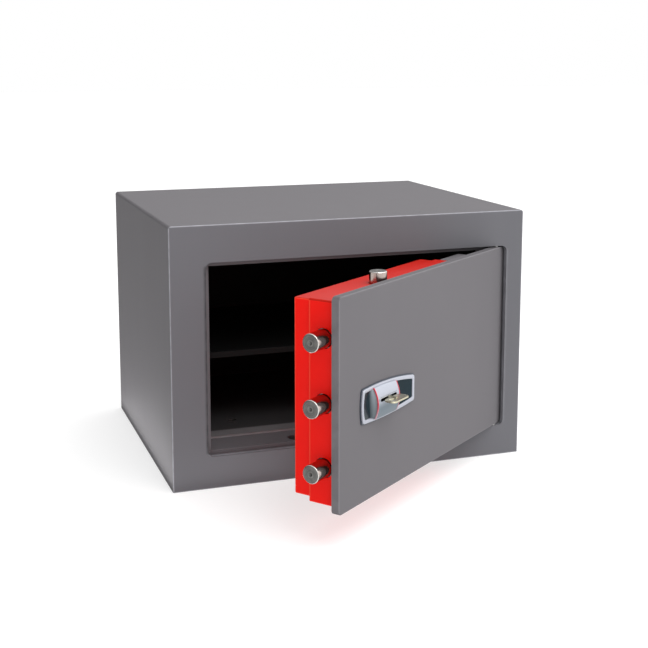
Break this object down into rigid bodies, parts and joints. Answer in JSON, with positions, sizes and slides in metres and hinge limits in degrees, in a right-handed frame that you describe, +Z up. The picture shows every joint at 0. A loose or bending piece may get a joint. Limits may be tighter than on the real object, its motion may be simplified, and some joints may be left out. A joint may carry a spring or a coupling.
{
  "type": "fireproof safe",
  "caption": "Fire-resistant office safe: insulated steel body with a shelf, right-hinged key-locked door standing ajar, stepped inner cover and round locking bolts.",
  "frame": {"origin": "middle of the flat underside of the safe's body, on the floor", "axes": "+Z up, -Y out of the front where the door is, +X to the right as seen from the front; the door hinges at +X"},
  "size_m": [0.5, 0.6498, 0.35],
  "materials": {
    "body_paint": "satin",
    "jamb_paint": "satin",
    "liner_paint": "matte",
    "cover_paint": "satin",
    "fire_fill": "matte",
    "bolt_steel": "polished",
    "plain_steel": "satin",
    "screw_zinc": "satin",
    "cam_brass": "satin",
    "key_brass": "satin",
    "gasket_black": "matte",
    "bezel_silver": "satin",
    "panel_dark": "gloss",
    "ring_red": "gloss"
  },
  "bodies": {
    "case": {"outer_shell": "body_paint", "base_plate": "body_paint", "back_panel": "body_paint", "face_frame": "body_paint", "door_jamb": "jamb_paint", "inner_liner": "liner_paint", "insulation_top": "fire_fill", "insulation_bottom": "fire_fill", "insulation_left": "fire_fill", "insulation_right": "fire_fill", "insulation_back": "fire_fill", "bolt_sockets": "plain_steel", "hinge_blocks": "plain_steel", "hinge_washer": "plain_steel", "anchor_sleeves": "plain_steel", "shelf_rails": "liner_paint"},
    "shelf": {"shelf_plate": "liner_paint"},
    "door": {"door_plate": "body_paint", "hinge_pins": "plain_steel", "lock_cover": "cover_paint", "side_cover": "body_paint", "cover_posts": "plain_steel", "cover_screws": "screw_zinc", "door_board": "fire_fill", "side_bolt_guide": "plain_steel", "top_bolt_guide": "plain_steel", "bottom_bolt_guide": "plain_steel", "lock_case": "plain_steel", "lock_gasket": "gasket_black", "lock_bezel": "bezel_silver", "lock_panel": "panel_dark", "keyhole_barrel": "bezel_silver", "trim_rings": "ring_red"},
    "boltwork": {"lower_side_bolt": "bolt_steel", "middle_side_bolt": "bolt_steel", "upper_side_bolt": "bolt_steel", "bolt_bar": "plain_steel", "cam_plate": "plain_steel", "lock_tongue": "plain_steel"},
    "header_bolt": {"top_bolt": "bolt_steel", "top_link": "plain_steel"},
    "sill_bolt": {"bottom_bolt": "bolt_steel", "bottom_link": "plain_steel"},
    "cam": {"lock_cam": "cam_brass"},
    "door_key": {"key": "key_brass"}
  },
  "joints": [
    {"name": "door_hinge", "type": "hinge", "parent": "case", "child": "door", "pos_m": [0.2115, -0.194, 0.172], "axis": [0, 0, 1], "range_deg": [-30, 72.5]},
    {"name": "bolt_throw", "type": "slide", "parent": "door", "child": "boltwork", "axis": [0.7934, 0.6088, 0], "range_m": [0, 0.022]},
    {"name": "header_bolt_throw", "type": "slide", "parent": "door", "child": "header_bolt", "axis": [0, 0, -1], "range_m": [0, 0.01]},
    {"name": "sill_bolt_throw", "type": "slide", "parent": "door", "child": "sill_bolt", "axis": [0, 0, 1], "range_m": [0, 0.01]},
    {"name": "key_turn", "type": "hinge", "parent": "door", "child": "cam", "pos_m": [-0.03674, -0.39204, 0.164], "axis": [-0.6088, 0.7934, 0], "range_deg": [0, 360]},
    {"name": "key_withdraw", "type": "slide", "parent": "cam", "child": "door_key", "axis": [0.6088, -0.7934, 0], "range_m": [0, 0.045]},
    {"name": "shelf_lift", "type": "slide", "parent": "case", "child": "shelf", "axis": [0, 0, 1], "range_m": [0, 0.03]}
  ],
  "couplings": [
    {"joint": "header_bolt_throw", "follows": "bolt_throw", "ratio": 0.45454},
    {"joint": "sill_bolt_throw", "follows": "bolt_throw", "ratio": 0.45454},
    {"joint": "key_turn", "follows": "bolt_throw", "rad_per_m": 285.6}
  ]
}
